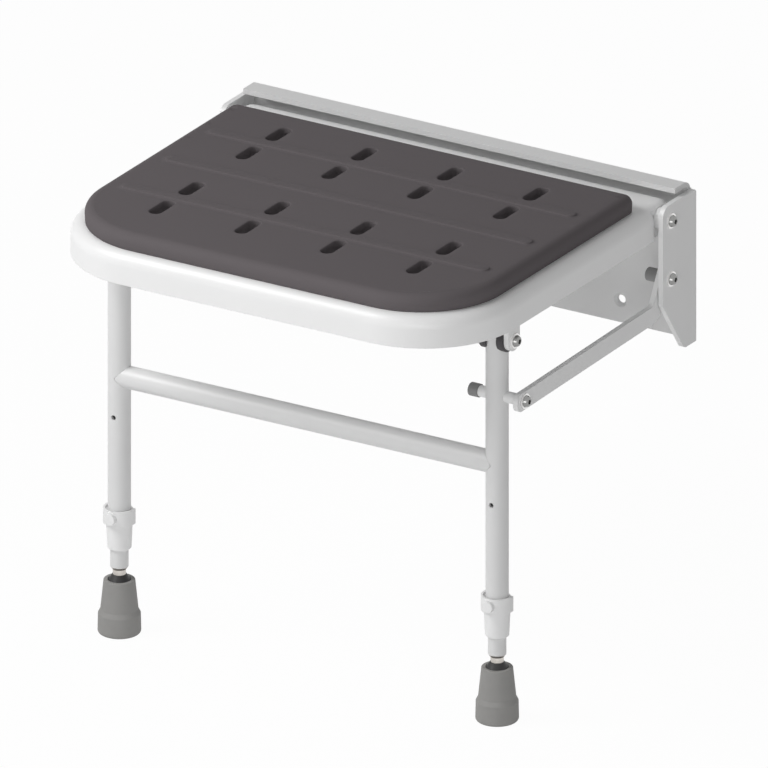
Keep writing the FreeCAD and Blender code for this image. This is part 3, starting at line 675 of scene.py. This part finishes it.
def studio_floor():
    """A plain white floor, which keeps a faint shadow of the seat."""
    data = bpy.data.meshes.new("floor")
    reach = FLOOR_REACH
    level = cad_box[0][2]
    data.from_pydata(
        [(-reach, -reach, level), (reach, -reach, level), (reach, reach, level), (-reach, reach, level)],
        [],
        [(0, 1, 2, 3)],
    )
    floor = bpy.data.objects.new("floor", data)
    bpy.context.collection.objects.link(floor)
    material, tree, place = new_material("Studio floor, matt white paint")
    mottle = noise(tree, place, 400 * MM)
    matt = add(tree, "ShaderNodeBsdfDiffuse", {"Color": tint(tree, mottle, "#f2f2f2", 0.99, 1.0)})
    white = add(tree, "ShaderNodeEmission", {"Color": (1, 1, 1, 1), "Strength": 1.0})
    share = add(tree, "ShaderNodeMath", {0: seen(tree), 1: FLOOR_WHITE}, operation="MULTIPLY")
    mix = add(tree, "ShaderNodeMixShader", {0: share.outputs[0], 1: matt.outputs[0], 2: white.outputs[0]})
    add(tree, "ShaderNodeOutputMaterial", {"Surface": mix.outputs[0]})
    data.materials.append(material)


def studio_world(wall_light, ceiling_light):
    """A room that is lighter level with the seat than overhead, and plain white where it is seen."""
    world = bpy.data.worlds.new("studio")
    bpy.context.scene.world = world
    world.use_nodes = True
    tree = world.node_tree
    tree.nodes.clear()
    way = add(tree, "ShaderNodeTexCoord").outputs["Generated"]
    upward = add(tree, "ShaderNodeSeparateXYZ", {"Vector": way}).outputs["Z"]
    level = spread(tree, upward, wall_light, ceiling_light)
    soft = add(tree, "ShaderNodeBackground", {"Color": (1, 1, 1, 1), "Strength": level})
    white = add(tree, "ShaderNodeBackground", {"Color": (1, 1, 1, 1), "Strength": 1.0})
    mix = add(tree, "ShaderNodeMixShader", {0: seen(tree), 1: soft.outputs[0], 2: white.outputs[0]})
    add(tree, "ShaderNodeOutputWorld", {"Surface": mix.outputs[0]})


def studio_camera(stage):
    """A camera with no perspective, at the photograph's angle."""
    turn, tilt = stage.azimuth, stage.elevation
    right = Vector((math.cos(turn), math.sin(turn), 0))
    up = Vector((-math.sin(turn) * math.sin(tilt), math.cos(turn) * math.sin(tilt), math.cos(tilt)))
    back = right.cross(up)
    data = bpy.data.cameras.new("camera")
    data.type = "ORTHO"
    data.ortho_scale = stage.across
    camera = bpy.data.objects.new("camera", data)
    place = right * stage.aim_right + up * stage.aim_up + back * stage.distance
    camera.matrix_world = Matrix.Translation(place) @ Matrix((right, up, back)).transposed().to_4x4()
    bpy.context.collection.objects.link(camera)
    bpy.context.scene.camera = camera


class SEAT_OT_stage(bpy.types.Operator):
    """Set the camera, the floor, the lamps and the room"""

    bl_idname = "wall_seat.stage"
    bl_label = "Stage"

    def execute(self, context):
        stage = context.scene.seat_stage
        studio_camera(stage)
        studio_floor()
        studio_world(stage.wall_light, stage.ceiling_light)
        lamp("key_lamp", KEY_PLACE, LIT_MIDDLE, KEY_ACROSS, stage.key_light)
        lamp("fill_lamp", FILL_PLACE, LIT_MIDDLE, FILL_ACROSS, stage.fill_light)
        context.scene.view_settings.view_transform = "Standard"
        return {"FINISHED"}


class SEAT_PT_panel(bpy.types.Panel):
    """Everything that dresses the seat"""

    bl_idname = "SEAT_PT_panel"
    bl_label = "Wall seat"
    bl_space_type = "VIEW_3D"
    bl_region_type = "UI"
    bl_category = "Wall seat"

    def draw(self, context):
        for operator in OPERATORS:
            self.layout.operator(operator.bl_idname)
        for name in GROUPS:
            box = self.layout.box()
            group = getattr(context.scene, name)
            for key in group.__annotations__:
                box.prop(group, key)


GROUPS = {"seat_pad_sizes": PadSizes, "seat_finishes": Finishes, "seat_stage": StageSettings}
OPERATORS = (
    SEAT_OT_stage,
    SEAT_OT_pad,
    SEAT_OT_shell,
    SEAT_OT_bracket,
    SEAT_OT_legs,
    SEAT_OT_mouldings,
    SEAT_OT_fasteners,
    SEAT_OT_feet,
)


def register():
    for group in GROUPS.values():
        bpy.utils.register_class(group)
    for operator in OPERATORS:
        bpy.utils.register_class(operator)
    bpy.utils.register_class(SEAT_PT_panel)
    for name, group in GROUPS.items():
        setattr(bpy.types.Scene, name, bpy.props.PointerProperty(type=group))


def unregister():
    for name in GROUPS:
        delattr(bpy.types.Scene, name)
    bpy.utils.unregister_class(SEAT_PT_panel)
    for operator in reversed(OPERATORS):
        bpy.utils.unregister_class(operator)
    for group in GROUPS.values():
        bpy.utils.unregister_class(group)


def main():
    register()
    bpy.ops.wall_seat.stage()
    bpy.ops.wall_seat.pad()
    bpy.ops.wall_seat.shell()
    bpy.ops.wall_seat.bracket()
    bpy.ops.wall_seat.legs()
    bpy.ops.wall_seat.mouldings()
    bpy.ops.wall_seat.fasteners()
    bpy.ops.wall_seat.feet()


if __name__ == "__main__":
    main()
